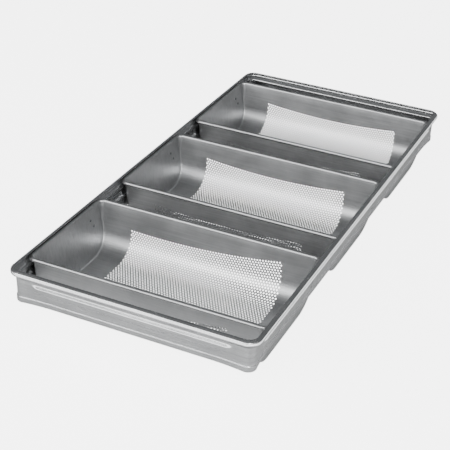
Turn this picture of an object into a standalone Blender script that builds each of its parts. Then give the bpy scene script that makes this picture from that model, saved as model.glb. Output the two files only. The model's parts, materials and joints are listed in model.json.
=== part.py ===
"""Baguette tray: three long pans, shown here with plain walls, hung and riveted in one roll-formed band.

Metres, +Z up. X runs along the pans, Y runs across them from front to back, and the origin is on the
surface that the pans stand on, under the middle of the tray.
"""

import math

import bmesh
import bpy
from mathutils import Matrix, Vector

# Driving dimensions of the pans
PAN_NAMES = ("front", "middle", "back")
PAN_PITCH = 0.2315           # from the middle of one pan to the middle of the next
PAN_OPENING_LENGTH = 0.3192  # inside, at the rim, along X
PAN_OPENING_WIDTH = 0.1680   # inside, at the rim, along Y
PAN_DEPTH = 0.0718           # inside, from the top of the rim to the floor
PAN_SHEET = 0.0008
WALL_LEAN = math.radians(5.0)      # long walls
END_LEAN = math.radians(9.0)       # end walls
FLOOR_RADIUS = 0.0320              # between the long walls and the floor
RIM_CORNER_RADIUS = 0.0080         # inside corner of the opening, seen from above
LOW_CORNER_RADIUS = 0.0025         # the same corner below ROUNDING_DEPTH
ROUNDING_DEPTH = 0.034
CAP_REACH = 0.0032                 # how far an end cap reaches round into the pan

# Rim, rolled round a wire
WIRE_RADIUS = 0.0015
WIRE_CLEARANCE = 0.0004
CURL_TURN = math.radians(288)      # how far the sheet goes round its wire

# Driving dimensions of the band
RIM_BELOW_BAND = 0.0029            # from the top of the band to the top of the rims
LIP_OUT = 0.0017                   # from the inside of a rim to the inner edge of the band
BAND_END_GAP = 0.0335              # from the rim of an outer pan to the inner edge of the band, along Y
BAND_HEIGHT = 0.0464
BAND_CORNER_RADIUS = 0.0110        # inside, at the top edge
BAND_SHEET = 0.0008
SWAGE_CLEARANCE = 0.0016           # between a rolled rim and the hollow that holds it
SWAGE_SHOULDER = 0.0007            # from the top of the rims down to the hollow's upper shoulder
WEB_BELOW_RIM = 0.0038             # from the underside of the rolled rims to the top of the web
WEB_OUT = 0.0000                   # outer face of the web at its top, from the band's inner edge
WEB_LEAN = math.radians(6.0)       # less than the end walls lean, so that the web clears them
CORNER_FLARE = 0.0030              # how much less the foot of the band draws in at its corners
CORNER_FLARE_RUN = 0.045           # length over which that fades along a side
HEM_HEIGHT = 0.0080                # of the bottom edge, folded up outside
RIB_BELOW_WEB_TOP = 0.0025
RIB_ABOVE_RIVET = 0.0032           # from the lower rivets up to the foot of the rib
RIB_FLANK = 0.0050                 # height of a rib's sloping flank, less on a low rib
RIB_OUT = 0.0018
RIB_FROM_CORNER = 0.026            # from the inner corner of the band to the end of a rib
RIB_RUN_OUT = 0.010                # length over which a rib fades

# Rivets: the upper one goes through the rib, and the lower one through the plain web below it
RIVET_FROM_MIDDLE = (0.0547, 0.0606)   # of a pan, towards the back
RIVET_ABOVE_HEM = 0.0062               # of the lower one
RIVET_RADIUS = 0.0010
RIVET_HOLE_CLEARANCE = 0.0003
RIVET_HEAD_RADIUS = 0.0019
RIVET_HEAD_HEIGHT = 0.0008
RIVET_SEAT_GAP = 0.0005                # under each head and at each end of the spacer
SHORTEST_SPACER = 0.0006

# Fineness
PIECE_GAP = 0.0003
CORNER_STEPS = 5
RIM_STEPS = 9
FLOOR_STEPS = 8

# Worked-out places
CURL_RADIUS = WIRE_RADIUS + WIRE_CLEARANCE + PAN_SHEET   # outside of the rolled rim
SWAGE_OUT = 2 * CURL_RADIUS - LIP_OUT + SWAGE_CLEARANCE + BAND_SHEET   # from the band's inner edge
SWAGE_TOP = RIM_BELOW_BAND + SWAGE_SHOULDER              # drops to the two shoulders of the hollow
SWAGE_BOTTOM = RIM_BELOW_BAND + CURL_RADIUS
WEB_TOP_DROP = RIM_BELOW_BAND + 2 * CURL_RADIUS + WEB_BELOW_RIM
HEM_DROP = BAND_HEIGHT - HEM_HEIGHT
LOWER_RIVET_DROP = HEM_DROP - RIVET_ABOVE_HEM
RIB_TOP_DROP = WEB_TOP_DROP + RIB_BELOW_WEB_TOP
RIB_BOTTOM_DROP = LOWER_RIVET_DROP - RIB_ABOVE_RIVET
RIVET_DROPS = ((RIB_TOP_DROP + RIB_BOTTOM_DROP) / 2, LOWER_RIVET_DROP)
RIB_CROWN = 2 * (RIVET_HEAD_RADIUS + PIECE_GAP)          # least height of the rib's flat face
FLANK = min(RIB_FLANK, (RIB_BOTTOM_DROP - RIB_TOP_DROP - RIB_CROWN) / 2)
FLOOR_Z = PAN_SHEET
RIM_TOP_Z = FLOOR_Z + PAN_DEPTH
WIRE_Z = RIM_TOP_Z - CURL_RADIUS
BAND_TOP_Z = RIM_TOP_Z + RIM_BELOW_BAND
PAN_MIDDLES = [(i - (len(PAN_NAMES) - 1) / 2) * PAN_PITCH for i in range(len(PAN_NAMES))]
RIM_HALF_WIDTH = PAN_OPENING_WIDTH / 2 + 2 * CURL_RADIUS
BAND_HALF_WIDTH = PAN_OPENING_LENGTH / 2 + LIP_OUT
BAND_HALF_LENGTH = PAN_MIDDLES[-1] + RIM_HALF_WIDTH + BAND_END_GAP


def clear_scene():
    for old in list(bpy.data.objects):
        bpy.data.objects.remove(old, do_unlink=True)


def new_collection(name, hidden=False):
    made = bpy.data.collections.new(name)
    bpy.context.scene.collection.children.link(made)
    made.hide_render = hidden
    return made


def metal(name, colour, roughness):
    material = bpy.data.materials.new(name)
    material.use_nodes = True
    shader = material.node_tree.nodes["Principled BSDF"]
    shader.inputs["Base Color"].default_value = (*colour, 1.0)
    shader.inputs["Metallic"].default_value = 1.0
    shader.inputs["Roughness"].default_value = roughness
    return material


def mesh_object(name, bm, collection, material, place=(0.0, 0.0, 0.0)):
    """An object of the finished bmesh, shaded smooth but for its folds."""
    mesh = bpy.data.meshes.new(name)
    bm.to_mesh(mesh)
    bm.free()
    mesh.shade_smooth()
    mesh.set_sharp_from_angle(angle=math.radians(35))
    mesh.materials.append(material)
    made = bpy.data.objects.new(name, mesh)
    made.location = place
    collection.objects.link(made)
    return made


def corner_directions(first_turn):
    """Unit vectors through one quarter turn, anticlockwise seen from above."""
    turns = [math.pi / 2 * (first_turn + step / CORNER_STEPS) for step in range(CORNER_STEPS + 1)]
    return [Vector((math.cos(turn), math.sin(turn))) for turn in turns]


def rounded_rectangle(half_x, half_y, radius):
    """(point, outward direction) pairs round a rounded rectangle, anticlockwise from its +X side."""
    stations = []
    for turn, (side_x, side_y) in enumerate(((1, 1), (-1, 1), (-1, -1), (1, -1))):
        centre = Vector((side_x * (half_x - radius), side_y * (half_y - radius)))
        stations += [(centre + radius * outward, outward) for outward in corner_directions(turn)]
    return stations


def lofted(rings, round_again=False):
    """A bmesh with a wall between each ring of points and the next, and back to the first if asked."""
    bm = bmesh.new()
    loops = [[bm.verts.new(point) for point in ring] for ring in rings]
    pairs = list(zip(loops, loops[1:]))
    if round_again:
        pairs.append((loops[-1], loops[0]))
    for upper, lower in pairs:
        for i in range(len(upper)):
            j = (i + 1) % len(upper)
            bm.faces.new((upper[i], lower[i], lower[j], upper[j]))
    return bm, loops


# Pans ---------------------------------------------------------------------------------------------

def end_wall_x(z):
    """Inside half length of a pan at this height."""
    return PAN_OPENING_LENGTH / 2 - (WIRE_Z - z) * math.tan(END_LEAN)


def corner_radius(z):
    """Inside corner of a pan at this height: wide at the rim, and tight below the rounding."""
    share = min(1.0, (WIRE_Z - z) / ROUNDING_DEPTH)
    eased = share * share * (3 - 2 * share)
    return RIM_CORNER_RADIUS + (LOW_CORNER_RADIUS - RIM_CORNER_RADIUS) * eased


def wall_outline():
    """(half width, height) points of the inside of a long wall, from the rim down to the flat floor."""
    floor_centre_z = FLOOR_Z + FLOOR_RADIUS
    tangent_z = floor_centre_z - FLOOR_RADIUS * math.sin(WALL_LEAN)
    tangent_y = PAN_OPENING_WIDTH / 2 - (WIRE_Z - tangent_z) * math.tan(WALL_LEAN)
    floor_half = tangent_y - FLOOR_RADIUS * math.cos(WALL_LEAN)
    top = Vector((PAN_OPENING_WIDTH / 2, WIRE_Z))
    foot = Vector((tangent_y, tangent_z))
    wall_steps = 4
    outline = [top.lerp(foot, step / wall_steps) for step in range(wall_steps)]
    for step in range(FLOOR_STEPS + 1):
        turn = (math.pi / 2 - WALL_LEAN) * (1 - step / FLOOR_STEPS)
        y = floor_half + FLOOR_RADIUS * math.sin(turn)
        outline.append(Vector((y, floor_centre_z - FLOOR_RADIUS * math.cos(turn))))
    return outline


def rim_outline():
    """(outward offset, height) points of the inside of the rolled rim, from its free edge to the wall."""
    outline = []
    for step in range(RIM_STEPS):
        turn = math.pi - CURL_TURN * (1 - step / RIM_STEPS)
        outline.append((CURL_RADIUS * (1 + math.cos(turn)), WIRE_Z + CURL_RADIUS * math.sin(turn)))
    return outline


def pan_shell():
    """The inside surface of a whole pan with its rim, open at the rim's free edge."""
    rings = []
    opening = rounded_rectangle(PAN_OPENING_LENGTH / 2, PAN_OPENING_WIDTH / 2, RIM_CORNER_RADIUS)
    for out, z in rim_outline():
        rings.append([(*(place + outward * out), z) for place, outward in opening])
    for half_y, z in wall_outline():
        outline = rounded_rectangle(end_wall_x(z), half_y, corner_radius(z))
        rings.append([(*place, z) for place, _ in outline])
    bm, loops = lofted(rings)
    floor = bm.faces.new(loops[-1])
    bmesh.ops.recalc_face_normals(bm, faces=bm.faces)
    if floor.normal.z < 0:
        bmesh.ops.reverse_faces(bm, faces=bm.faces)
    return bm


def cut_away(bm, point, normal):
    """Cuts the open surface with a plane and drops what is on the normal's side."""
    geometry = list(bm.verts) + list(bm.edges) + list(bm.faces)
    bmesh.ops.bisect_plane(bm, geom=geometry, plane_co=point, plane_no=normal, clear_outer=True)


def seam_plane(side, gap):
    """The plane parallel to an end wall where its cap meets the trough, moved by gap towards the end."""
    outward = Vector((side * math.cos(END_LEAN), 0.0, -math.sin(END_LEAN)))
    on_wall = Vector((side * end_wall_x(WIRE_Z), 0.0, WIRE_Z))
    return on_wall + outward * (gap - CAP_REACH), outward


def sheet_thickness(made):
    """Thickens the surface away from the inside of the pan."""
    solid = made.modifiers.new("sheet", "SOLIDIFY")
    solid.thickness = PAN_SHEET
    solid.offset = -1.0
    solid.use_even_offset = True


def add_trough(name, middle_y, collection, material):
    bm = pan_shell()
    for side in (-1, 1):
        point, outward = seam_plane(side, -PIECE_GAP / 2)
        cut_away(bm, point, outward)
    made = mesh_object(name, bm, collection, material, (0.0, middle_y, 0.0))
    sheet_thickness(made)
    return made


def add_cap(name, side, middle_y, collection, material):
    bm = pan_shell()
    point, outward = seam_plane(side, PIECE_GAP / 2)
    cut_away(bm, point, -outward)
    made = mesh_object(name, bm, collection, material, (0.0, middle_y, 0.0))
    sheet_thickness(made)
    return made


def add_rim_wire(name, middle_y, collection, material):
    """One wire, bent round the opening and closed, inside the rolled rim."""
    outline = rounded_rectangle(
        PAN_OPENING_LENGTH / 2 + CURL_RADIUS,
        PAN_OPENING_WIDTH / 2 + CURL_RADIUS,
        RIM_CORNER_RADIUS + CURL_RADIUS,
    )
    curve = bpy.data.curves.new(name, "CURVE")
    curve.dimensions = "3D"
    curve.bevel_depth = WIRE_RADIUS
    curve.bevel_resolution = 2
    spline = curve.splines.new("POLY")
    spline.points.add(len(outline) - 1)
    for point, (place, _) in zip(spline.points, outline):
        point.co = (place.x, place.y, 0.0, 1.0)
    spline.use_cyclic_u = True
    spline.use_smooth = True
    curve.materials.append(material)
    made = bpy.data.objects.new(name, curve)
    made.location = (0.0, middle_y, WIRE_Z)
    collection.objects.link(made)
    return made


# Band ---------------------------------------------------------------------------------------------

def web_out(drop):
    """Outer face of the web at this drop below the top, as an offset from the inner edge of the rim."""
    return WEB_OUT - (drop - WEB_TOP_DROP) * math.tan(WEB_LEAN)


def rib_rise(drop):
    """How far the rib stands out of the web at this drop: a flat face with two sloping flanks."""
    inside = min(drop - RIB_TOP_DROP, RIB_BOTTOM_DROP - drop)
    share = max(0.0, min(1.0, inside / FLANK))
    return RIB_OUT * share * share * (3 - 2 * share)


def band_section():
    """Closed outline of the strip as (offset out, drop, rib rise): down its outside and up its inside."""
    outer_swage = [
        (0.0, BAND_SHEET - 0.0001),
        (0.0, 0.0002),
        (0.0002, 0.0),
        (0.0016, 0.0),
        (0.0034, 0.0006),
        (SWAGE_OUT - 0.0007, 0.0020),
        (SWAGE_OUT - 0.0001, SWAGE_TOP - 0.0004),
        (SWAGE_OUT, SWAGE_TOP + 0.0005),
        (SWAGE_OUT, SWAGE_BOTTOM - 0.0006),
        (SWAGE_OUT - 0.0001, SWAGE_BOTTOM + 0.0004),
        (SWAGE_OUT - 0.0006, SWAGE_BOTTOM + 0.0012),
        (WEB_OUT + 0.0009, WEB_TOP_DROP - 0.0012),
        (WEB_OUT + 0.0002, WEB_TOP_DROP - 0.0004),
    ]
    inner_swage = [
        (WEB_OUT - BAND_SHEET + 0.0002, WEB_TOP_DROP - 0.0007),
        (WEB_OUT + 0.0003, WEB_TOP_DROP - 0.0017),
        (SWAGE_OUT - 0.0012, SWAGE_BOTTOM + 0.0008),
        (SWAGE_OUT - BAND_SHEET, SWAGE_BOTTOM - 0.0001),
        (SWAGE_OUT - BAND_SHEET, SWAGE_TOP + 0.0003),
        (SWAGE_OUT - 0.0014, 0.0026),
        (0.0031, 0.0014),
        (0.0015, BAND_SHEET),
        (0.0002, BAND_SHEET),
    ]
    web_drops = [
        WEB_TOP_DROP + 0.0003,
        RIB_TOP_DROP,
        RIB_TOP_DROP + FLANK / 3,
        RIB_TOP_DROP + FLANK * 2 / 3,
        RIB_TOP_DROP + FLANK,
        RIB_BOTTOM_DROP - FLANK,
        RIB_BOTTOM_DROP - FLANK * 2 / 3,
        RIB_BOTTOM_DROP - FLANK / 3,
        RIB_BOTTOM_DROP,
        HEM_DROP,
    ]
    web = [(web_out(drop), drop, rib_rise(drop)) for drop in web_drops]
    hem_bottom = BAND_HEIGHT - 0.0006
    hem = [
        (web_out(HEM_DROP) + 0.8 * BAND_SHEET, HEM_DROP + 0.0003),
        (web_out(hem_bottom) + BAND_SHEET, hem_bottom),
        (web_out(BAND_HEIGHT) + 0.4 * BAND_SHEET, BAND_HEIGHT),
        (web_out(BAND_HEIGHT) - 0.6 * BAND_SHEET, BAND_HEIGHT),
        (web_out(hem_bottom) - BAND_SHEET, hem_bottom),
    ]
    inner_web = [(out - BAND_SHEET, drop, rise) for out, drop, rise in reversed(web)]
    plain = [(out, drop, 0.0) for out, drop in outer_swage]
    foot = [(out, drop, 0.0) for out, drop in hem]
    return plain + web + foot + inner_web + [(out, drop, 0.0) for out, drop in inner_swage]


def band_stations():
    """(place on the inner edge, outward direction, rib strength, corner flare) round the band."""
    half_x, half_y = BAND_HALF_WIDTH, BAND_HALF_LENGTH
    corners = rounded_rectangle(half_x, half_y, BAND_CORNER_RADIUS)
    stations = []
    for turn in range(4):
        first = turn * (CORNER_STEPS + 1)
        for place, outward in corners[first : first + CORNER_STEPS + 1]:
            stations.append((place, outward, 0.0, 1.0))
        outward = stations[-1][1]
        along = Vector((-outward.y, outward.x))
        middle = Vector((outward.x * half_x, outward.y * half_y))
        half_side = abs(along.x) * half_x + abs(along.y) * half_y
        steps = []
        for from_corner, rib in (
            (0.55 * RIB_FROM_CORNER, 0.0),
            (RIB_FROM_CORNER, 0.0),
            (RIB_FROM_CORNER + RIB_RUN_OUT / 2, 0.7),
            (RIB_FROM_CORNER + RIB_RUN_OUT, 1.0),
            (BAND_CORNER_RADIUS + CORNER_FLARE_RUN, 1.0),
        ):
            fade = max(0.0, 1 - (from_corner - BAND_CORNER_RADIUS) / CORNER_FLARE_RUN)
            steps.append((half_side - from_corner, rib, fade * fade))
        for reach, rib, flare in steps:
            stations.append((middle - along * reach, outward, rib, flare))
        for reach, rib, flare in reversed(steps):
            stations.append((middle + along * reach, outward, rib, flare))
    return stations


def add_band(collection, material):
    section = band_section()
    rings = []
    for base, outward, rib, flare in band_stations():
        ring = []
        for out, drop, rise in section:
            depth = max(0.0, drop - WEB_TOP_DROP) / (BAND_HEIGHT - WEB_TOP_DROP)
            place = base + outward * (out + rise * rib + CORNER_FLARE * flare * depth**1.5)
            ring.append((place.x, place.y, BAND_TOP_Z - drop))
        rings.append(ring)
    bm, _ = lofted(rings, round_again=True)
    bmesh.ops.recalc_face_normals(bm, faces=bm.faces)
    if bm.calc_volume(signed=True) < 0:
        bmesh.ops.reverse_faces(bm, faces=bm.faces)
    return mesh_object("band", bm, collection, material)


# Rivets -------------------------------------------------------------------------------------------

def turned(name, profile, collection):
    """A solid of revolution about Z. The profile is at +X, from its top on the axis to its bottom."""
    mesh = bpy.data.meshes.new(name)
    points = [(radius, 0.0, height) for radius, height in profile]
    mesh.from_pydata(points, [(i, i + 1) for i in range(len(points) - 1)], [])
    made = bpy.data.objects.new(name, mesh)
    collection.objects.link(made)
    screw = made.modifiers.new("turn", "SCREW")
    screw.axis = "Z"
    screw.steps = 12
    screw.render_steps = 12
    screw.use_merge_vertices = True
    screw.merge_threshold = 0.00001
    screw.use_smooth_shade = True
    return made


def rivet_stops(drop):
    """How far out, from the middle plane of the tray, a rivet meets the cap and the band."""
    cap_inside = end_wall_x(BAND_TOP_Z - drop)
    cap_outside = cap_inside + PAN_SHEET / math.cos(END_LEAN)
    web_outside = BAND_HALF_WIDTH + web_out(drop) + rib_rise(drop)
    return cap_inside, cap_outside, web_outside - BAND_SHEET, web_outside


def rivet_place(side, y, drop):
    """Turns +Z of a turned piece outwards along X, on this side of the tray."""
    turn = Matrix.Rotation(side * math.pi / 2, 4, "Y")
    return Matrix.Translation((0.0, y, BAND_TOP_Z - drop)) @ turn


def add_rivet(name, side, y, drop, collection, material):
    """Head in the pan, a low head outside the band, and a spacer where the two stand apart."""
    cap_inside, cap_outside, web_inside, web_outside = rivet_stops(drop)
    head_seat = cap_inside - RIVET_SEAT_GAP
    tail_seat = web_outside + RIVET_SEAT_GAP
    spacer_start = cap_outside + RIVET_SEAT_GAP
    spacer_end = web_inside - RIVET_SEAT_GAP
    spacer = []
    if spacer_end - spacer_start > SHORTEST_SPACER:
        spacer = [
            (RIVET_RADIUS, spacer_end),
            (RIVET_HEAD_RADIUS, spacer_end),
            (RIVET_HEAD_RADIUS, spacer_start),
            (RIVET_RADIUS, spacer_start),
        ]
    profile = [
        (0.0, tail_seat + 0.6 * RIVET_HEAD_HEIGHT),
        (0.7 * RIVET_HEAD_RADIUS, tail_seat + 0.5 * RIVET_HEAD_HEIGHT),
        (RIVET_HEAD_RADIUS, tail_seat),
        (RIVET_RADIUS, tail_seat),
        *spacer,
        (RIVET_RADIUS, head_seat),
        (RIVET_HEAD_RADIUS, head_seat),
        (0.7 * RIVET_HEAD_RADIUS, head_seat - 0.7 * RIVET_HEAD_HEIGHT),
        (0.0, head_seat - RIVET_HEAD_HEIGHT),
    ]
    made = turned(name, profile, collection)
    made.data.materials.append(material)
    made.matrix_world = rivet_place(side, y, drop)
    return made


def add_drill(name, side, y, drop, collection):
    """A pin, wider than the rivet's shank, that drills the pan's cap and the band."""
    cap_inside, _, _, web_outside = rivet_stops(drop)
    radius = RIVET_RADIUS + RIVET_HOLE_CLEARANCE
    start = cap_inside - RIVET_SEAT_GAP - PAN_SHEET
    end = web_outside + RIVET_SEAT_GAP + PAN_SHEET
    made = turned(name, [(0.0, end), (radius, end), (radius, start), (0.0, start)], collection)
    made.matrix_world = rivet_place(side, y, drop)
    made.hide_render = True
    made.display_type = "WIRE"
    return made


def drill_holes(made, drills):
    for drill in drills:
        cut = made.modifiers.new("hole_" + drill.name, "BOOLEAN")
        cut.operation = "DIFFERENCE"
        cut.solver = "EXACT"
        cut.object = drill


# Assembly -----------------------------------------------------------------------------------------

def build():
    clear_scene()
    tray = new_collection("baguette_tray")
    cutters = new_collection("cutters", hidden=True)
    sheet = metal("satin_aluminised_steel", (0.42, 0.43, 0.44), 0.32)
    strip = metal("satin_aluminised_strip", (0.50, 0.51, 0.52), 0.28)
    wire = metal("drawn_steel_wire", (0.36, 0.36, 0.37), 0.35)
    rivet_steel = metal("rivet_steel", (0.30, 0.30, 0.31), 0.38)

    band = add_band(tray, strip)
    for pan, middle_y in zip(PAN_NAMES, PAN_MIDDLES):
        add_trough(f"pan_{pan}_trough", middle_y, tray, sheet)
        add_rim_wire(f"pan_{pan}_rim_wire", middle_y, tray, wire)
        for side, side_name in ((-1, "left"), (1, "right")):
            cap = add_cap(f"pan_{pan}_{side_name}_cap", side, middle_y, tray, sheet)
            drills = []
            for level, from_middle, drop in zip(("upper", "lower"), RIVET_FROM_MIDDLE, RIVET_DROPS):
                label = f"{pan}_{side_name}_{level}"
                y = middle_y + from_middle
                drills.append(add_drill("drill_" + label, side, y, drop, cutters))
                add_rivet("rivet_" + label, side, y, drop, tray, rivet_steel)
            drill_holes(cap, drills)
            drill_holes(band, drills)


build()
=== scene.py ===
# %% [markdown]
# # A baguette tray
# Three long pans of thin aluminised steel hang side by side in one band. Each pan is a rounded trough
# with a field of small round holes, two end walls, and a rim rolled round a wire. The band is a strip,
# roll-formed along its whole length, that goes round all the pans and is riveted to their end walls.

# %% The frame
import json
import math

import bmesh
import bpy
from mathutils import Matrix, Vector

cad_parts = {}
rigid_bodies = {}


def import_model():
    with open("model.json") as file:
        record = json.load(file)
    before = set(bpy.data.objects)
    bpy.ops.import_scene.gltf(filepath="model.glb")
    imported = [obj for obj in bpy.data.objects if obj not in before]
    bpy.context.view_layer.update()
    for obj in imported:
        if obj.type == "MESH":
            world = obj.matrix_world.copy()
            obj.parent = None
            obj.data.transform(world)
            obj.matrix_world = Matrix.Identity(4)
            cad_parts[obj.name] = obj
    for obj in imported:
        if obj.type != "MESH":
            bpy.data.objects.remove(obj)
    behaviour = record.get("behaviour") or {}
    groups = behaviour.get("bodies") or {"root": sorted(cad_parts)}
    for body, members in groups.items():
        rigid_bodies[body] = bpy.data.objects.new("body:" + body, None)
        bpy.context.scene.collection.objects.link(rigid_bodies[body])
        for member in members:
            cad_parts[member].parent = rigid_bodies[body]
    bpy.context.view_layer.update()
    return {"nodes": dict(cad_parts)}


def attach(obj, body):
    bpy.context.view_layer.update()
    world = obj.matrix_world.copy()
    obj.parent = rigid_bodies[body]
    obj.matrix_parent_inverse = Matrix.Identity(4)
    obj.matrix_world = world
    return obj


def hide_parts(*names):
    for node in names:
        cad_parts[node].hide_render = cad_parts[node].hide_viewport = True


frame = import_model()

# %% [markdown]
# ## The camera
# The tray is seen from its front right corner, from above the long side, with a long lens.
# It stands far enough away that the far end is hardly smaller than the near one.

# %% The camera
AZIMUTH, ELEVATION, ROLL = math.radians(24.056), math.radians(29.875), math.radians(2.418)
forward = Vector((
    -math.sin(AZIMUTH) * math.cos(ELEVATION), math.cos(AZIMUTH) * math.cos(ELEVATION), -math.sin(ELEVATION)
))
level_right = Vector((math.cos(AZIMUTH), math.sin(AZIMUTH), 0.0))
level_up = level_right.cross(forward)
right = level_right * math.cos(ROLL) + level_up * math.sin(ROLL)
up = right.cross(forward)
camera = bpy.data.objects.new("camera", bpy.data.cameras.new("camera"))
camera.matrix_world = Matrix.Translation((0.5658, -1.3546, 0.8431)) @ Matrix(
    (right, up, -forward)
).transposed().to_4x4()
camera.data.sensor_width = 36
camera.data.lens = 94.51
bpy.context.scene.collection.objects.link(camera)
bpy.context.scene.camera = camera

# %% [markdown]
# ## One way to make every sheet
# All the pieces are sheet metal, so nearly all start as a flat grid that is bent: an operator makes the
# grid, and each of its points is moved to its place on the form. The sheet then gets its thickness.
# Bending a grid keeps long even quads, and a satin surface shows every uneven one.

# %% Helpers for bent sheets
def bent_grid(bm, columns, rows, place):
    """Adds a grid to bm and moves each point to place(column, row)."""
    made = bmesh.ops.create_grid(bm, x_segments=columns, y_segments=rows, size=0.5)["verts"]
    for vert in made:
        column = round((vert.co.x + 0.5) * columns)
        row = round((vert.co.y + 0.5) * rows)
        vert.co = place(column, row)
    return made


def join_edges(bm, distance=0.00002):
    """Joins edges that meet, then turns all faces one way."""
    bmesh.ops.remove_doubles(bm, verts=bm.verts, dist=distance)
    bmesh.ops.recalc_face_normals(bm, faces=bm.faces)


def piece(name, bm, nodes, crease=35):
    """Makes the object, hides the nodes it stands for, and lets it ride on the tray."""
    mesh = bpy.data.meshes.new(name)
    bm.to_mesh(mesh)
    bm.free()
    mesh.shade_smooth()
    mesh.set_sharp_from_angle(angle=math.radians(crease))
    made = bpy.data.objects.new(name, mesh)
    bpy.context.scene.collection.objects.link(made)
    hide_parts(*nodes)
    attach(made, "root")
    return made


# %% [markdown]
# ## The form of a pan
# A pan is fixed by one outline across it: a flat floor, a round of 32 mm on each side, a wall that leans
# out 5 degrees, and a rim rolled outwards round a 3 mm wire. Everything is a function of the distance
# along that outline from the middle of the floor, because a sheet keeps its length when it is bent.

# %% The outline across a pan
MM = 0.001
PAN_NAMES = ("front", "middle", "back")
PAN_PITCH = 231.5 * MM
SHEET = 0.8 * MM
HALF_OPENING_X, HALF_OPENING_Y = 159.6 * MM, 84.0 * MM
FLOOR_Z, RIM_TOP_Z = 0.8 * MM, 72.6 * MM
WALL_LEAN, END_LEAN = math.radians(5), math.radians(9)
FLOOR_ROUND = 32.0 * MM
RIM_ROUND, LOW_ROUND, ROUNDING_DEPTH = 8.0 * MM, 2.2 * MM, 34.0 * MM
CURL = 2.7 * MM
WIRE_Z = RIM_TOP_Z - CURL
CURL_TURN = math.radians(288)
PAN_MIDDLES = {name: (number - 1) * PAN_PITCH for number, name in enumerate(PAN_NAMES)}

tangent_z = FLOOR_Z + FLOOR_ROUND * (1 - math.sin(WALL_LEAN))
tangent_y = HALF_OPENING_Y - (WIRE_Z - tangent_z) * math.tan(WALL_LEAN)
floor_half = tangent_y - FLOOR_ROUND * math.cos(WALL_LEAN)
round_end = floor_half + FLOOR_ROUND * (math.pi / 2 - WALL_LEAN)
wall_end = round_end + (WIRE_Z - tangent_z) / math.cos(WALL_LEAN)
print("floor, round and wall end at mm:", [round(1000 * v, 1) for v in (floor_half, round_end, wall_end)])


def outline(distance):
    """(point, inward direction) across the pan, as (y, z), at this distance from the floor's middle."""
    side = 1.0 if distance >= 0 else -1.0
    along = abs(distance)
    if along <= floor_half:
        return Vector((distance, FLOOR_Z)), Vector((0.0, 1.0))
    if along <= round_end:
        turn = (along - floor_half) / FLOOR_ROUND
        outward = Vector((math.sin(turn), -math.cos(turn)))
        point = Vector((floor_half, FLOOR_Z + FLOOR_ROUND)) + FLOOR_ROUND * outward
    else:
        outward = Vector((math.cos(WALL_LEAN), -math.sin(WALL_LEAN)))
        rise = Vector((math.sin(WALL_LEAN), math.cos(WALL_LEAN)))
        point = Vector((tangent_y, tangent_z)) + (along - round_end) * rise
    return Vector((side * point.x, point.y)), Vector((-side * outward.x, -outward.y))


# %% [markdown]
# ## Where a long wall meets an end wall
# The end walls lean out more than the long walls. Between the two runs a round that is wide at the rim
# and tight below. It is the path of a ball that touches both walls and rolls down the corner, so its
# middle is worked out from the outline: one radius in from the long wall, and one from the end wall.

# %% The corners of a pan
def end_wall_x(z):
    """Half the inside length of a pan at this height: the end walls lean out too."""
    return HALF_OPENING_X - (WIRE_Z - z) * math.tan(END_LEAN)


def corner_round(z):
    """The round between a long wall and an end wall: 8 mm at the rim, and tight in the lower half."""
    share = min(1.0, (WIRE_Z - z) / ROUNDING_DEPTH)
    return RIM_ROUND - (RIM_ROUND - LOW_ROUND) * share * share * (3 - 2 * share)


def ball_centre(distance):
    """Middle of a ball of that round rolled along the corner between the trough and the end wall."""
    point, inward = outline(distance)
    radius = corner_round(point.y)
    centre = point + radius * inward
    return Vector((end_wall_x(centre.y) - radius / math.cos(END_LEAN), centre.x, centre.y)), radius


# %% [markdown]
# ## The perforated sheet
# The holes are 2.5 mm on a 4 mm triangular pitch, 56 to a row and 65 rows, punched while the sheet is flat.
# One cell is a rectangle a pitch wide with an eight-sided hole. It also has a point in the middle of its
# long edges, because the next row is shifted by half a pitch: its corners meet those points, so the field
# is one unbroken sheet. A cell is copied along a row, and the row is copied up the field.

# %% A row of holes
PITCH = 4.0 * MM
ROW_STEP = PITCH * math.sqrt(3) / 2
HOLE_RADIUS = 1.25 * MM
HOLES, ROWS = 56, 65
FIELD_X = -(HOLES + 0.5) * PITCH / 2
FIELD_S = -ROWS * ROW_STEP / 2


def add_cell(bm, x, s):
    """One rectangle with a round hole, its lower left corner at (x, s)."""
    edge = bmesh.ops.create_grid(bm, x_segments=2, y_segments=1, size=0.5)
    for vert in edge["verts"]:
        vert.co = Vector((x + (vert.co.x + 0.5) * PITCH, s + (vert.co.y + 0.5) * ROW_STEP, 0.0))
    faces = list({face for vert in edge["verts"] for face in vert.link_faces})
    inner = [e for face in faces for e in face.edges if len(e.link_faces) == 2]
    bmesh.ops.delete(bm, geom=faces, context="FACES_ONLY")
    bmesh.ops.delete(bm, geom=list(set(inner)), context="EDGES")
    middle = Matrix.Translation((x + PITCH / 2, s + ROW_STEP / 2, 0.0))
    turn = Matrix.Rotation(math.pi / 8, 4, "Z")
    bmesh.ops.create_circle(bm, segments=8, radius=HOLE_RADIUS, matrix=middle @ turn)
    bmesh.ops.triangle_fill(bm, edges=list(bm.edges), use_beauty=True, normal=(0, 0, 1))


# %% [markdown]
# ## From one cell to the whole field
# Each cell is copied along its row, and then the finished row is copied up the field. Copying whole rows
# is much quicker than making each hole for itself, and all the holes come out alike.

# %% The field of holes
def copies(bm, faces, count, step):
    """Copies the faces count - 1 times, each a step further."""
    for number in range(1, count):
        copy = bmesh.ops.duplicate(bm, geom=faces)["geom"]
        moved = [item for item in copy if isinstance(item, bmesh.types.BMVert)]
        bmesh.ops.translate(bm, verts=moved, vec=Vector(step) * number)


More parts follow.
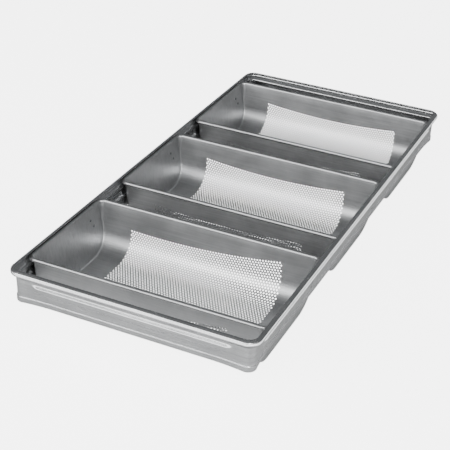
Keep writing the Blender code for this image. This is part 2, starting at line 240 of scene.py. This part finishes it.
field = bmesh.new()
add_cell(field, FIELD_X, FIELD_S)
print("faces round one hole:", len(field.faces))
copies(field, list(field.faces), HOLES, (PITCH, 0, 0))
row_of_cells = list(field.faces)
row_edges = list({edge for face in row_of_cells for edge in face.edges})
row_verts = list({vert for face in row_of_cells for vert in face.verts})
row_geometry = row_verts + row_edges + row_of_cells
for row in range(1, ROWS):
    copy = bmesh.ops.duplicate(field, geom=row_geometry)["geom"]
    moved = [item for item in copy if isinstance(item, bmesh.types.BMVert)]
    bmesh.ops.translate(field, verts=moved, vec=(PITCH / 2 * (row % 2), row * ROW_STEP, 0))
print("faces in the field:", len(field.faces))

# %% [markdown]
# ## The plain sheet round the field
# At each end of a row the half cell that the shift leaves open is closed by a small plate, and then comes
# plain sheet as far as the end wall. Above the last rows the same columns run up the wall and round the
# wire. All of it is still flat: later the distance along it becomes the place on the outline.

# %% The trough
MARGIN_COLUMNS = 5
MARGIN = 40 * MM
field_columns = [FIELD_X + number * PITCH / 2 for number in range(2 * HOLES + 2)]
margin_steps = [MARGIN * (1 - number / MARGIN_COLUMNS) for number in range(MARGIN_COLUMNS)]
left_columns = [FIELD_X - step for step in margin_steps]
right_columns = [-FIELD_X + step for step in reversed(margin_steps)]
all_columns = left_columns + field_columns + right_columns
for row in range(ROWS):
    low = FIELD_S + row * ROW_STEP
    plate_x = FIELD_X if row % 2 else -FIELD_X - PITCH / 2
    bent_grid(field, 1, 1, lambda i, j: Vector((plate_x + i * PITCH / 2, low + j * ROW_STEP, 0.0)))
for side in (-1, 1):
    steps = [side * (-FIELD_X + step) for step in [*margin_steps, 0.0]]
    bent_grid(
        field, MARGIN_COLUMNS, ROWS, lambda i, j: Vector((steps[i], FIELD_S + j * ROW_STEP, 0.0))
    )
WALL_ROWS, CURL_ROWS = 3, 12
curl_length = 10 * MM     # any length will do, as rolled() only needs a share of it


def upper_row(number):
    """Distance along the sheet of a row above the field: up the wall, then round the wire."""
    if number <= WALL_ROWS:
        return -FIELD_S + (wall_end + FIELD_S) * number / WALL_ROWS
    return wall_end + curl_length * (number - WALL_ROWS) / CURL_ROWS


for side in (-1, 1):
    bent_grid(
        field,
        len(all_columns) - 1,
        WALL_ROWS + CURL_ROWS,
        lambda i, j: Vector((all_columns[i], side * upper_row(j), 0.0)),
    )
join_edges(field)


# %% [markdown]
# ## The roll of the rim and the seam
# The rim is rolled a little over three quarters of a turn round the wire. The trough stops just short of
# the round of the end wall, where a thin dark seam shows between the two sheets.

# %% The rim's roll and the seam
def rolled(place, outward, share):
    """A point of the rim's roll: share 0 at the wall's top edge and 1 at the sheet's free edge."""
    turn = math.pi - CURL_TURN * share
    out = CURL * (1 + math.cos(turn))
    return Vector((place.x + outward.x * out, place.y + outward.y * out, place.z + CURL * math.sin(turn)))


SEAM_GAP = 0.12 * MM
FLANGE = 0.5 * MM


def seam_x(distance):
    """Where the trough ends, just short of the round of the end wall."""
    reach = max(-wall_end, min(wall_end, distance))
    return ball_centre(reach)[0].x - FLANGE


# %% [markdown]
# ## What drawing the sheet does to the rows
# On a real pan the rows of holes aren't quite straight once the sheet is drawn into its form. They hang
# lower in the middle of a wall than at its ends, the top rows come out a little shorter, and on one pan
# the field sits skew. Only the place of the holes in the sheet changes here, not the form of the pan.

# %% The drawn rows
SAG, SHORTENED = 6.5 * MM, 2.4 * MM
SKEW = {"front": 7.0 * MM, "middle": 0.0, "back": 0.0}


def drawn(x, s, skew):
    """A point's place in the sheet after drawing. Nothing moves on the floor or at the edges."""
    along = abs(s)
    rise = max(0.0, min(1.0, (along - floor_half) / (-FIELD_S - floor_half)))
    fade = max(0.0, min(1.0, (wall_end - along) / (wall_end + FIELD_S)))
    across = x / FIELD_X
    inside = max(0.0, 1 - across * across)
    end = max(0.0, 1 - max(0.0, abs(x) + FIELD_X) / MARGIN)
    moved = along - (SAG * inside + skew * across * end) * rise * fade
    moved_x = x + math.copysign(SHORTENED, -x) * min(1.0, abs(across)) * end * rise * fade
    return moved_x, math.copysign(moved, s)


# %% [markdown]
# ## Bending, and giving the sheet its thickness
# Thickness comes last, after the normals are set, because it is laid on the outside only: the inside of
# the pan is the side whose sizes are known. The outside then gets a darker material of its own, which is
# painted shade for the shade in the gaps between the pans and the band.

# %% Bending and thickening
def face_up(bm):
    """Turns all faces so that the pan's inside is their front."""
    low = min(bm.faces, key=lambda face: face.calc_center_median().z)
    if low.normal.z < 0:
        bmesh.ops.reverse_faces(bm, faces=bm.faces)


def thicken(bm):
    """Gives the sheet its thickness, outwards from the pan's inside."""
    bmesh.ops.solidify(bm, geom=bm.faces, thickness=SHEET)


def mark_painted_gap_shade(bm):
    """Gives the faces below the rim that look away from the pan's inside the second material: painted shade
    for the gaps.
    """
    axis_point = Vector((0.0, 0.0, 60 * MM))
    for face in bm.faces:
        middle = face.calc_center_median()
        if middle.z < WIRE_Z - MM and face.normal.dot(axis_point - middle) < 0:
            # Painted shade: the outsides take the dark second material because the gaps between the pans lie
            # in shade.
            face.material_index = 1


def bend(bm, skew):
    """Bends the flat trough onto the outline, its free edges round the wires."""
    for vert in bm.verts:
        x, s = drawn(vert.co.x, vert.co.y, skew)
        margin = abs(x) + FIELD_X
        if margin > 0:
            x = math.copysign(-FIELD_X + margin / MARGIN * (seam_x(s) - SEAM_GAP + FIELD_X), x)
        if abs(s) <= wall_end + 1e-7:
            point, _ = outline(s)
            vert.co = Vector((x, point.x, point.y))
        else:
            side = math.copysign(1.0, s)
            top = Vector((x, side * HALF_OPENING_Y, WIRE_Z))
            vert.co = rolled(top, Vector((0.0, side)), (abs(s) - wall_end) / curl_length)
    bmesh.ops.recalc_face_normals(bm, faces=bm.faces)


for pan in PAN_NAMES:
    trough = field.copy()
    bend(trough, SKEW[pan])
    face_up(trough)
    thicken(trough)
    mark_painted_gap_shade(trough)
    print(pan, "trough, triangles:", sum(len(face.verts) - 2 for face in trough.faces))
    bmesh.ops.translate(trough, verts=trough.verts, vec=(0.0, PAN_MIDDLES[pan], 0.0))
    piece(f"{pan}_perforated_trough", trough, [f"pan_{pan}_trough"])
field.free()

# %% [markdown]
# ## The end walls
# An end wall is a flat plate with its edge turned round towards the trough. The turned edge follows a ball
# rolled along the corner, so that its round is wide at the rim and tight below. The rim's roll goes on
# round both corners. The wall itself is one flat face, closed inside the ring of its edge.

# %% The end caps
ROUND_STEPS = 8
wall_steps, arc_steps, floor_steps = 6, 12, 4
half_stations = [floor_half * i / floor_steps for i in range(floor_steps)]
half_stations += [floor_half + (round_end - floor_half) * i / arc_steps for i in range(arc_steps)]
half_stations += [round_end + (wall_end - round_end) * i / wall_steps for i in range(wall_steps + 1)]
stations = [-s for s in reversed(half_stations[1:])] + half_stations
END_OUTWARD = Vector((math.cos(END_LEAN), 0.0, -math.sin(END_LEAN)))


def turned_edge(distance, step):
    """A point of the turned edge and its outward direction: step 0 is at the seam."""
    point, inward = outline(distance)
    centre, radius = ball_centre(distance)
    start = Vector((0.0, -inward.x, -inward.y))
    if step == 0:
        return Vector((seam_x(distance), point.x, point.y)), start
    outward = start.slerp(END_OUTWARD, (step - 1) / ROUND_STEPS)
    return centre + radius * outward, outward


cap = bmesh.new()
bent_grid(cap, ROUND_STEPS + 1, len(stations) - 1, lambda i, j: turned_edge(stations[j], i)[0])
ring = [turned_edge(-wall_end, step) for step in range(ROUND_STEPS + 2)]
ring += [turned_edge(wall_end, step) for step in reversed(range(ROUND_STEPS + 2))]


# %% [markdown]
# ## The rim of an end wall, and its flat face
# The roll starts from the top points of the turned edge, goes round both corners, and has as many rows as
# the trough's, so that the two rolls look like one. What is left open is filled with one flat face.

# %% The rim and the flat face
def rim_point(number, row):
    place, outward = ring[number]
    level = Vector((outward.x, outward.y)).normalized()
    return rolled(place, level, row / CURL_ROWS)


bent_grid(cap, len(ring) - 1, CURL_ROWS, rim_point)
join_edges(cap)
flat = [
    edge
    for edge in cap.edges
    if edge.is_boundary and all(abs(v.co.x - end_wall_x(v.co.z)) < 0.00001 for v in edge.verts)
]
bmesh.ops.edgeloop_fill(cap, edges=flat)
bmesh.ops.recalc_face_normals(cap, faces=cap.faces)
wall_face = max(cap.faces, key=lambda face: face.calc_area())
if wall_face.normal.x > 0:
    bmesh.ops.reverse_faces(cap, faces=cap.faces)
print("edges closed by the flat wall:", len(flat))
thicken(cap)
mark_painted_gap_shade(cap)
print("the end wall's outermost point, mm:", round(1000 * max(vert.co.x for vert in cap.verts), 2))
for pan in PAN_NAMES:
    for side, sign in (("left", -1), ("right", 1)):
        copy = cap.copy()
        if sign < 0:
            bmesh.ops.scale(copy, verts=copy.verts, vec=(-1.0, 1.0, 1.0))
            bmesh.ops.reverse_faces(copy, faces=copy.faces)
        bmesh.ops.translate(copy, verts=copy.verts, vec=(0.0, PAN_MIDDLES[pan], 0.0))
        piece(f"{pan}_{side}_end_wall", copy, [f"pan_{pan}_{side}_cap"])
cap.free()

# %% [markdown]
# ## The band
# The strip has a hollow swage along its top that takes the rims, then a web that leans in beside the end
# walls, a rib pressed out along each side, and a bottom edge folded up outside. Its outline is written as
# (out, drop) from the inner top edge, and its corners are rounded, because a fold in sheet is never sharp.
# The outline is then swept round the four sides. At the corners the foot stays further out.

# %% The outline of the band
BAND_TOP_Z = 75.5 * MM
BAND_HEIGHT = 46.4 * MM
BAND_HALF_X, BAND_HALF_Y = 161.3 * MM, 354.4 * MM
BAND_CORNER = 11.0 * MM
WEB_TOP = 12.1 * MM
RIB_TOP, RIB_BOTTOM, RIB_FLANK, RIB_OUT = 14.6 * MM, 29.0 * MM, 5.0 * MM, 1.8 * MM
HEM = 8.0 * MM
WEB_LEAN = math.radians(6)
BAND_SHEET = 0.8 * MM


def web_out(drop):
    return -(drop - WEB_TOP) * math.tan(WEB_LEAN)


def rib_rise(drop):
    share = max(0.0, min(1.0, min(drop - RIB_TOP, RIB_BOTTOM - drop) / RIB_FLANK))
    return RIB_OUT * share * share * (3 - 2 * share)


def softened(points, radius, steps=4):
    """The closed outline with each corner replaced by a short curve."""
    soft = []
    for before, corner, after in zip([points[-1], *points], points, [*points[1:], points[0]]):
        corner = Vector(corner)
        to_before, to_after = Vector(before) - corner, Vector(after) - corner
        start = corner + to_before * min(0.45, radius / to_before.length)
        end = corner + to_after * min(0.45, radius / to_after.length)
        for step in range(steps + 1):
            t = step / steps
            soft.append(start * (1 - t) ** 2 + corner * 2 * t * (1 - t) + end * t * t)
    return soft


hem_top = BAND_HEIGHT - HEM
outer = [
    (0.0, 0.8 * MM), (0.0, 0.0), (3.0 * MM, 0.0), (5.6 * MM, 1.9 * MM), (6.1 * MM, 3.7 * MM),
    (6.1 * MM, 5.8 * MM), (5.5 * MM, 6.9 * MM), (0.4 * MM, 11.6 * MM),
]
inner = [
    (-0.5 * MM, 11.5 * MM), (4.8 * MM, 6.5 * MM), (5.3 * MM, 5.5 * MM), (5.3 * MM, 3.9 * MM),
    (4.9 * MM, 2.4 * MM), (2.8 * MM, 0.8 * MM),
]
web_drops = [RIB_TOP + (RIB_BOTTOM - RIB_TOP) * i / 24 for i in range(25)]
web_drops = [WEB_TOP + 0.4 * MM, *web_drops, (RIB_BOTTOM + hem_top) / 2]
foot = [
    (web_out(hem_top), hem_top),
    (web_out(hem_top) + 0.7 * MM, hem_top + 0.15 * MM),
    (web_out(BAND_HEIGHT) + 0.8 * MM, BAND_HEIGHT - 0.7 * MM),
    (web_out(BAND_HEIGHT) + 0.4 * MM, BAND_HEIGHT),
    (web_out(BAND_HEIGHT) - 0.5 * MM, BAND_HEIGHT),
    (web_out(BAND_HEIGHT) - 0.8 * MM, BAND_HEIGHT - 0.7 * MM),
]
outline_points = outer + [(web_out(d), d) for d in web_drops] + foot
outline_points += [(web_out(d) - BAND_SHEET, d) for d in reversed(web_drops)] + inner
section = softened(outline_points, 0.7 * MM, 3)
print("points round the band's section:", len(section))

# %% [markdown]
# ## Sweeping the band round the tray
# The stations stand close together in the corners and where the rib runs out, and one long step takes
# the straight middle of each side. The rib's strength is a number from 0 to 1 at each station.

# %% The sweep
RIB_FROM_CORNER, RIB_RUN_OUT = 26.0 * MM, 10.0 * MM
FLARE, FLARE_RUN = 3.0 * MM, 45.0 * MM
CORNER_STEPS = 12


def side_stations():
    """(distance from the corner, rib strength, flare) along the start of a side."""
    steps = []
    for number in range(29):
        reach = BAND_CORNER + 2 * MM * number
        rib = max(0.0, min(1.0, (reach - RIB_FROM_CORNER) / RIB_RUN_OUT))
        fade = max(0.0, 1 - (reach - BAND_CORNER) / FLARE_RUN)
        steps.append((reach, rib * rib * (3 - 2 * rib), fade * fade))
    return steps


sweep = []
for turn in range(4):
    across = Vector((math.cos(turn * math.pi / 2), math.sin(turn * math.pi / 2), 0.0))
    along = Vector((-across.y, across.x, 0.0))
    reach = abs(across.x) * BAND_HALF_X + abs(across.y) * BAND_HALF_Y
    half_side = abs(along.x) * BAND_HALF_X + abs(along.y) * BAND_HALF_Y
    steps = side_stations()
    for from_corner, rib, flare in steps:
        sweep.append((across * reach - along * (half_side - from_corner), across, rib, flare))
    for from_corner, rib, flare in reversed(steps):
        sweep.append((across * reach + along * (half_side - from_corner), across, rib, flare))
    centre = across * (reach - BAND_CORNER) + along * (half_side - BAND_CORNER)
    for step in range(1, CORNER_STEPS):
        angle = math.pi / 2 * step / CORNER_STEPS
        outward = across * math.cos(angle) + along * math.sin(angle)
        sweep.append((centre + BAND_CORNER * outward, outward, 0.0, 1.0))


# %% [markdown]
# ## The finished band
# Now each point of the outline is carried to each station. The side that faces the pans takes the second,
# darker material of the band: painted shade for the shade between the band and the pans.

# %% The band
def band_point(number, around):
    base, outward, rib, flare = sweep[number % len(sweep)]
    out, drop = section[around % len(section)]
    depth = max(0.0, drop - WEB_TOP) / (BAND_HEIGHT - WEB_TOP)
    out += rib_rise(drop) * rib + FLARE * flare * depth**1.5
    return base + outward * out + Vector((0.0, 0.0, BAND_TOP_Z - drop))


band = bmesh.new()
bent_grid(band, len(sweep), len(section), band_point)
join_edges(band, 0.000002)
for face in band.faces:
    middle = face.calc_center_median()
    on_side = abs(middle.x) / BAND_HALF_X > abs(middle.y) / BAND_HALF_Y
    outward = Vector((middle.x, 0.0, 0.0)) if on_side else Vector((0.0, middle.y, 0.0))
    if middle.z < BAND_TOP_Z - MM and face.normal.dot(outward) < 0:
        # Painted shade: the faces towards the pans take the dark second material for the shade between band
        # and pans.
        face.material_index = 1
band_piece = piece("swaged_band", band, ["band"], crease=50)
print("band faces:", len(band_piece.data.polygons))

# %% [markdown]
# ## The rivets
# Each end wall is held to the band by two small rivets near the back of the pan. A rivet is round:
# a grid is wrapped about its axis along half its outline, with a domed head inside the pan and a
# flatter one outside.

# %% The rivets
RIVETS = {"upper": (54.7 * MM, 21.8 * MM), "lower": (60.6 * MM, 32.2 * MM)}
RIVET_RADIUS, HEAD_RADIUS = 1.0 * MM, 1.9 * MM
DOME_EDGE, DOME_HEIGHT = 0.15 * MM, 0.75 * MM
FLAT_EDGE, FLAT_HEIGHT = 0.1 * MM, 0.4 * MM
HEAD_GAP = 0.05 * MM
TURNS = 24


def rivet_outline(drop):
    """(radius, distance out from the tray's middle) of a rivet at this drop."""
    seat = end_wall_x(BAND_TOP_Z - drop) - HEAD_GAP
    tail = BAND_HALF_X + web_out(drop) + rib_rise(drop) + HEAD_GAP
    dome = [
        (HEAD_RADIUS * math.sin(angle), seat - DOME_EDGE - DOME_HEIGHT * math.cos(angle))
        for angle in (math.pi / 2 * step / 6 for step in range(7))
    ]
    flat_head = [
        (HEAD_RADIUS * math.cos(angle), tail + FLAT_EDGE + FLAT_HEIGHT * math.sin(angle))
        for angle in (math.pi / 2 * step / 5 for step in range(6))
    ]
    shank = [(HEAD_RADIUS, seat), (RIVET_RADIUS, seat), (RIVET_RADIUS, tail), (HEAD_RADIUS, tail)]
    return [*dome, *shank, *flat_head]


for pan in PAN_NAMES:
    for side, sign in (("left", -1), ("right", 1)):
        for level, (from_middle, drop) in RIVETS.items():
            bm = bmesh.new()
            outline_of_rivet = rivet_outline(drop)
            count = len(outline_of_rivet) - 1
            bent_grid(
                bm, TURNS, count,
                lambda i, j: Vector((
                    sign * outline_of_rivet[j][1],
                    PAN_MIDDLES[pan] + from_middle + outline_of_rivet[j][0] * math.cos(math.tau * i / TURNS),
                    BAND_TOP_Z - drop + outline_of_rivet[j][0] * math.sin(math.tau * i / TURNS),
                )),
            )
            join_edges(bm, 0.000005)
            piece(
                f"{pan}_{side}_{level}_rivet", bm, [f"rivet_{pan}_{side}_{level}"], crease=40
            )

# %% [markdown]
# ## Materials
# Every sheet is steel with a thin coat of aluminium. Such a coat is a neutral gray metal with a satin
# shine: soft rolling lines along the strip, a faint cloudiness from the hot dip, and slightly duller and
# brighter patches where it was handled. The steel keeps a metal's own IOR, so only its colour, its
# roughness and a shallow bump are set.

# %% Material helpers
def linear(hex_colour):
    """An sRGB hex colour as linear numbers."""
    values = [int(hex_colour[i : i + 2], 16) / 255 for i in (1, 3, 5)]
    return [v / 12.92 if v <= 0.04045 else ((v + 0.055) / 1.055) ** 2.4 for v in values] + [1.0]


def node(material, kind, inputs=None, **settings):
    """Adds a node: its settings by name, and its inputs as values or as another node's output."""
    made = material.node_tree.nodes.new(kind)
    for name, value in settings.items():
        setattr(made, name, value)
    for name, value in (inputs or {}).items():
        if isinstance(value, bpy.types.NodeSocket):
            material.node_tree.links.new(value, made.inputs[name])
        else:
            made.inputs[name].default_value = value
    return made


def between(material, value, low, high):
    """The value, which runs from 0 to 1, moved to run from low to high."""
    return node(material, "ShaderNodeMapRange", {"Value": value, "To Min": low, "To Max": high}).outputs[0]


def noise(material, vector, width, detail, roughness=0.5):
    """A noise whose features are about this wide, in metres."""
    values = {"Vector": vector, "Scale": 1 / width, "Detail": detail, "Roughness": roughness}
    return node(material, "ShaderNodeTexNoise", values).outputs["Fac"]


# %% [markdown]
# ## Satin steel
# One function makes every finish. Two noises are added up: broad clouds, and fine lines drawn out along
# the way the sheet was rolled. Their sum mixes two grays and shifts the roughness a little, because a
# patch that is duller to the touch also looks lighter. The bump is far thinner than the coat.

# %% Satin steel
LINE_WIDTH, CLOUD_WIDTH, GRAIN_WIDTH = 1.6 * MM, 38 * MM, 0.9 * MM
LINE_DEPTH, GRAIN_DEPTH = 0.03 * MM, 0.012 * MM


def satin_steel(name, dark, light, roughness, stretch, line_bump):
    """Aluminised sheet: cloudy colour, rolling lines and a satin finish. Stretch is small along the lines."""
    material = bpy.data.materials.new(name)
    material.use_nodes = True
    shader = material.node_tree.nodes["Principled BSDF"]
    place = node(material, "ShaderNodeTexCoord").outputs["Object"]
    lines_at = node(material, "ShaderNodeMapping", {"Vector": place, "Scale": stretch}).outputs[0]
    lines = noise(material, lines_at, LINE_WIDTH, 4.0)
    clouds = noise(material, place, CLOUD_WIDTH, 5.0, 0.6)
    grain = noise(material, place, GRAIN_WIDTH, 2.0)
    mixed = node(material, "ShaderNodeMath", {0: clouds, 1: lines}, operation="ADD").outputs[0]
    share = node(
        material, "ShaderNodeMapRange", {"Value": mixed, "From Min": 0.7, "From Max": 1.3}
    ).outputs[0]
    colour = node(material, "ShaderNodeMix", {"Factor": share}, data_type="RGBA")
    for socket, value in zip([each for each in colour.inputs if each.type == "RGBA"], (dark, light)):
        socket.default_value = linear(value)
    result = next(each for each in colour.outputs if each.type == "RGBA")
    material.node_tree.links.new(result, shader.inputs["Base Color"])
    rough = between(material, share, roughness - 0.035, roughness + 0.045)
    material.node_tree.links.new(rough, shader.inputs["Roughness"])
    shader.inputs["Metallic"].default_value = 1.0
    fine = {"Height": grain, "Strength": 0.25, "Distance": GRAIN_DEPTH}
    fine_normal = node(material, "ShaderNodeBump", fine).outputs[0]
    coarse = {"Height": lines, "Strength": line_bump, "Distance": LINE_DEPTH, "Normal": fine_normal}
    normal = node(material, "ShaderNodeBump", coarse).outputs[0]
    material.node_tree.links.new(normal, shader.inputs["Normal"])
    return material


# %% [markdown]
# ## Which sheet gets which finish
# The troughs' rolling lines run along the pan, the end walls' run up and down, and the band's run round
# the tray. The outsides of the pans and the band's side towards them get darker and duller materials, which
# are painted shade for the shade in the gaps. The rivets and the wire are plain drawn steel, darker than the
# sheet.

# %% The finishes
ALONG_X, UPRIGHT, ROUND_TRAY = (0.02, 1.0, 1.0), (1.0, 1.0, 0.02), (0.02, 0.02, 1.0)
pan_steel = satin_steel("aluminised_sheet_rolled_along", "#a2a3a4", "#b8b9ba", 0.42, ALONG_X, 0.08)
end_steel = satin_steel("aluminised_sheet_rolled_upright", "#a2a3a4", "#b8b9ba", 0.42, UPRIGHT, 0.14)
band_steel = satin_steel("aluminised_strip_rolled_round", "#abacad", "#c2c3c4", 0.25, ROUND_TRAY, 0.07)
# Painted shade: the two dark grays below stand in for the shade in the gaps, not for a colour the steel has.
painted_gap_shade_strip = satin_steel("aluminised_strip_painted_gap_shade", "#3c3d3f", "#505153", 0.34, ROUND_TRAY, 0.07)
painted_gap_shade_sheet = satin_steel("aluminised_sheet_painted_gap_shade", "#232426", "#303133", 0.42, ALONG_X, 0.10)
wire_steel = satin_steel("drawn_steel_wire", "#7c7d7e", "#8e8f90", 0.38, ALONG_X, 0.10)
rivet_steel = satin_steel("pressed_steel_rivet", "#6c6d6e", "#808182", 0.36, UPRIGHT, 0.10)


def finish_with(made, *materials):
    made.data.materials.clear()
    for material in materials:
        made.data.materials.append(material)


for made in bpy.data.objects:
    if made.name.endswith("_perforated_trough"):
        finish_with(made, pan_steel, painted_gap_shade_sheet)
    elif made.name.endswith("_end_wall"):
        finish_with(made, end_steel, painted_gap_shade_sheet)
    elif made.name.endswith("_rivet"):
        finish_with(made, rivet_steel)
finish_with(band_piece, band_steel, painted_gap_shade_strip)
for pan in PAN_NAMES:
    wire = frame["nodes"][f"pan_{pan}_rim_wire"]
    for number in range(len(wire.material_slots)):
        wire.material_slots[number].material = wire_steel

# %% [markdown]
# ## Floor and light
# The floor is a plain white sheet. Where it is seen directly it also glows, as a lit studio table does,
# so the holes of the pans show bright. In reflections it is plain paper. Satin metal shows what is round
# it: a bank of light in front brightens the long walls, a smaller key gives the rims their edge, and two
# soft lights lie on the floor like pale cards, unseen by the camera, and light the band from below.

# %% The floor
FLOOR_SIZE, BELOW_TRAY = 30.0, 0.4 * MM
TABLE_GLOW = 5.0
floor_bm = bmesh.new()
bent_grid(
    floor_bm, 1, 1, lambda i, j: Vector(((i - 0.5) * FLOOR_SIZE, (j - 0.5) * FLOOR_SIZE, -BELOW_TRAY))
)
floor_mesh = bpy.data.meshes.new("floor")
floor_bm.to_mesh(floor_mesh)
floor_bm.free()
floor = bpy.data.objects.new("floor", floor_mesh)
bpy.context.scene.collection.objects.link(floor)
floor_paper = bpy.data.materials.new("matt_white_paper")
floor_paper.use_nodes = True
paper = floor_paper.node_tree.nodes["Principled BSDF"]
paper.inputs["Base Color"].default_value = linear("#dcdcdc")
paper.inputs["Roughness"].default_value = 0.9
paper.inputs["Emission Color"].default_value = linear("#ffffff")
seen = node(floor_paper, "ShaderNodeLightPath").outputs["Is Camera Ray"]
glow = node(floor_paper, "ShaderNodeMath", {0: seen, 1: TABLE_GLOW}, operation="MULTIPLY").outputs[0]
floor_paper.node_tree.links.new(glow, paper.inputs["Emission Strength"])
floor_mesh.materials.append(floor_paper)

# %% The lights
world = bpy.data.worlds.new("pale_surround")
world.use_nodes = True
world.node_tree.nodes["Background"].inputs["Color"].default_value = (0.96, 0.98, 1.0, 1.0)
world.node_tree.nodes["Background"].inputs["Strength"].default_value = 0.24
bpy.context.scene.world = world


def softbox(name, place, aim, size, power, hidden=False):
    light = bpy.data.lights.new(name, "AREA")
    light.shape = "RECTANGLE"
    light.size, light.size_y = size
    light.energy = power
    made = bpy.data.objects.new(name, light)
    made.location = place
    made.rotation_euler = (Vector(aim) - Vector(place)).to_track_quat("-Z", "Y").to_euler()
    made.visible_camera = not hidden
    bpy.context.scene.collection.objects.link(made)


softbox("key", (1.6, -2.6, 1.7), (0.0, 0.0, 0.0), (1.2, 1.2), 100)
softbox("card_in_front", (0.1, -0.86, 0.002), (0.1, -0.86, 1.0), (1.8, 0.84), 19, hidden=True)
softbox("card_at_the_right", (0.52, 0.3, 0.002), (0.52, 0.3, 1.0), (0.56, 1.8), 10, hidden=True)
softbox("front_bank", (-1.1, -2.7, 1.3), (0.0, 0.0, 0.1), (3.0, 1.4), 112)
